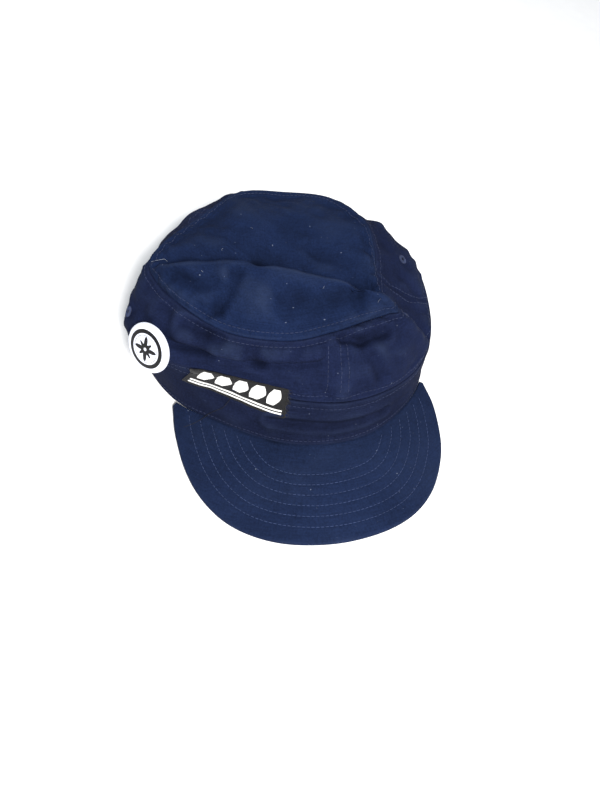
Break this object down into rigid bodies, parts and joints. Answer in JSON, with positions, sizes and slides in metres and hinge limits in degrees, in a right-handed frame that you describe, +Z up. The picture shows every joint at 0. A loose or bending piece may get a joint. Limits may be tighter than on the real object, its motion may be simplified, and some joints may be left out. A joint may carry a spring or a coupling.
{
  "type": "peaked cloth cap",
  "caption": "Soft cloth cadet cap lying on a table: round band, curved stitched visor, slumped crown folded across its top, woven patch and pin-back button.",
  "frame": {"origin": "middle of the head opening, on the table the cap lies on", "axes": "+Z up; the visor points to -Y; +X is the side away from the button (the wearer's left)"},
  "size_m": [0.2137, 0.2511, 0.0865],
  "materials": {
    "twill": "worn navy cotton twill",
    "board": "sealed inside",
    "lining": "dark cotton tape",
    "thread": "embroidered thread",
    "patch": "woven, frayed edge",
    "patch_figure": "woven white thread",
    "steel": "tinned",
    "badge_paper": "printed",
    "badge_film": "clear gloss film",
    "brass": "dull",
    "tag": "satin, blank"
  },
  "bodies": {
    "cap": {"visor_board": "board", "visor_top_cover": "twill", "visor_under_cover": "twill", "band_front": "twill", "band_rear_right": "twill", "band_rear_left": "twill", "crown_front_right": "twill", "crown_front_left": "twill", "crown_rear_right": "twill", "crown_rear_left": "twill", "crown_top": "twill", "sweatband": "lining", "top_seam_tape": "lining", "front_seam_tape": "lining", "rear_seam_tape": "lining", "side_seam_tape_right": "lining", "side_seam_tape_left": "lining", "vent_eyelets": "thread", "label_patch": "patch", "label_print": "patch_figure", "badge_shell": "steel", "badge_disc": "badge_paper", "badge_film": "badge_film", "badge_back_ring": "steel", "closure_strap": "twill", "buckle_tab": "twill", "buckle_frame": "brass", "size_tag": "tag"},
    "pin": {"badge_pin": "steel"},
    "lever": {"buckle_lever": "brass"}
  },
  "joints": [
    {"name": "badge_pin_hinge", "type": "hinge", "parent": "cap", "child": "pin", "pos_m": [-0.10928, -0.01874, 0.04946], "axis": [0.1883, 0.4796, 0.857], "range_deg": [0, 35]},
    {"name": "buckle_lever_hinge", "type": "hinge", "parent": "cap", "child": "lever", "pos_m": [0.04642, 0.09105, 0.01478], "axis": [-0.0576, -0.1604, -0.9854], "range_deg": [0, 100]}
  ]
}
